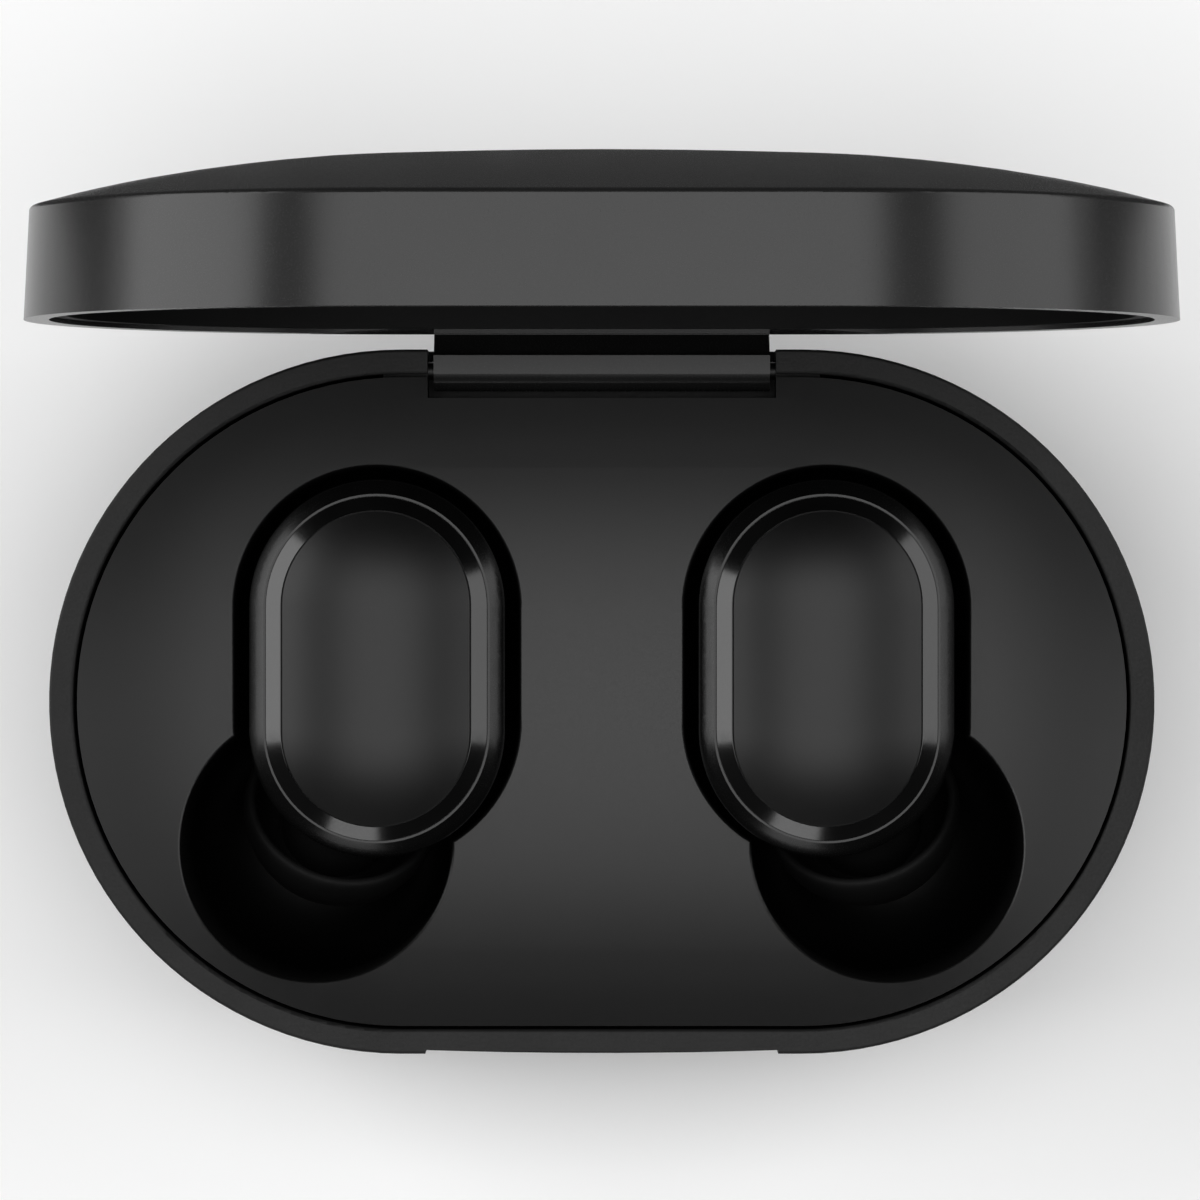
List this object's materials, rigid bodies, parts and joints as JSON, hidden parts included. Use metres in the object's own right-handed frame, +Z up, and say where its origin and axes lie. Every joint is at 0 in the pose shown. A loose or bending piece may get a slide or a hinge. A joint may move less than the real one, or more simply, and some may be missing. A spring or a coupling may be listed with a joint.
{
  "type": "wireless earbuds case",
  "caption": "Stadium-shaped charging case, hinged domed lid open at a right angle, with in-ear buds in its dished tray, each with a press button, and a charging port at the rear.",
  "frame": {"origin": "centre of the flat underside of the case", "axes": "+X along the case's long side, to the right seen from above with the hinge at the rear; +Y towards the hinge; +Z up"},
  "size_m": [0.062, 0.0496, 0.0545],
  "materials": {
    "case_plastic": "matte black moulded plastic with a fine texture",
    "tray_plastic": "smooth satin black moulded plastic",
    "lid_plastic": "matte black moulded plastic with a fine texture",
    "liner_plastic": "smooth satin black moulded plastic",
    "bud_plastic": "satin black moulded plastic",
    "button_plastic": "satin black moulded plastic",
    "trim_gloss": "polished black plastic",
    "silicone": "soft black silicone",
    "pin_steel": "drawn steel",
    "screw_steel": "steel screw",
    "socket_steel": "stamped steel",
    "socket_tongue": "black moulded plastic",
    "mesh_steel": "woven steel mesh",
    "driver_metal": "stamped metal can",
    "cell_steel": "nickel-plated can",
    "switch_metal": "tactile switch",
    "contact_gold": "gold plated",
    "magnet_nickel": "nickel plated magnet",
    "cell_wrap": "silvered pouch film",
    "foam": "adhesive foam",
    "lead_insulation": "insulated wire",
    "circuit_board": "solder-masked glass-fibre board",
    "chip_black": "moulded package",
    "led_body": "light-emitting diode body",
    "clear_pipe": "frosted light pipe"
  },
  "bodies": {
    "case": {"case_shell": "case_plastic", "inner_tray": "tray_plastic", "hinge_pin": "pin_steel", "case_battery": "cell_wrap", "battery_pad": "foam", "battery_leads": "lead_insulation", "main_board": "circuit_board", "board_chips": "chip_black", "board_screws": "screw_steel", "usb_socket": "socket_steel", "usb_tongue": "socket_tongue", "status_led": "led_body", "led_light_pipe": "clear_pipe", "latch_magnets": "magnet_nickel", "charge_pins_left": "contact_gold", "charge_pins_right": "contact_gold", "tray_magnet_left": "magnet_nickel", "tray_magnet_right": "magnet_nickel"},
    "lid": {"lid_shell": "lid_plastic", "lid_liner": "liner_plastic", "lid_magnets": "magnet_nickel"},
    "bud_left": {"bud_outer_shell_left": "bud_plastic", "bud_inner_shell_left": "bud_plastic", "bud_trim_ring_left": "trim_gloss", "ear_tip_left": "silicone", "nozzle_mesh_left": "mesh_steel", "bud_driver_left": "driver_metal", "bud_cell_left": "cell_steel", "bud_board_left": "circuit_board", "bud_chip_left": "chip_black", "bud_switch_left": "switch_metal", "bud_contacts_left": "contact_gold", "bud_magnet_left": "magnet_nickel"},
    "button_left": {"button_cap_left": "button_plastic"},
    "bud_right": {"bud_outer_shell_right": "bud_plastic", "bud_inner_shell_right": "bud_plastic", "bud_trim_ring_right": "trim_gloss", "ear_tip_right": "silicone", "nozzle_mesh_right": "mesh_steel", "bud_driver_right": "driver_metal", "bud_cell_right": "cell_steel", "bud_board_right": "circuit_board", "bud_chip_right": "chip_black", "bud_switch_right": "switch_metal", "bud_contacts_right": "contact_gold", "bud_magnet_right": "magnet_nickel"},
    "button_right": {"button_cap_right": "button_plastic"}
  },
  "joints": [
    {"name": "lid_hinge", "type": "hinge", "parent": "case", "child": "lid", "pos_m": [0, 0.0186, 0.0161], "axis": [-1, 0, 0], "range_deg": [-90, 0]},
    {"name": "bud_left_lift", "type": "slide", "parent": "case", "child": "bud_left", "axis": [0, 0, 1], "range_m": [0, 0.03]},
    {"name": "bud_right_lift", "type": "slide", "parent": "case", "child": "bud_right", "axis": [0, 0, 1], "range_m": [0, 0.03]},
    {"name": "button_left_press", "type": "slide", "parent": "bud_left", "child": "button_left", "axis": [0, 0, -1], "range_m": [0, 0.0003], "stiffness_N_per_m": 400, "springref_m": -0.0002},
    {"name": "button_right_press", "type": "slide", "parent": "bud_right", "child": "button_right", "axis": [0, 0, -1], "range_m": [0, 0.0003], "stiffness_N_per_m": 400, "springref_m": -0.0002}
  ]
}
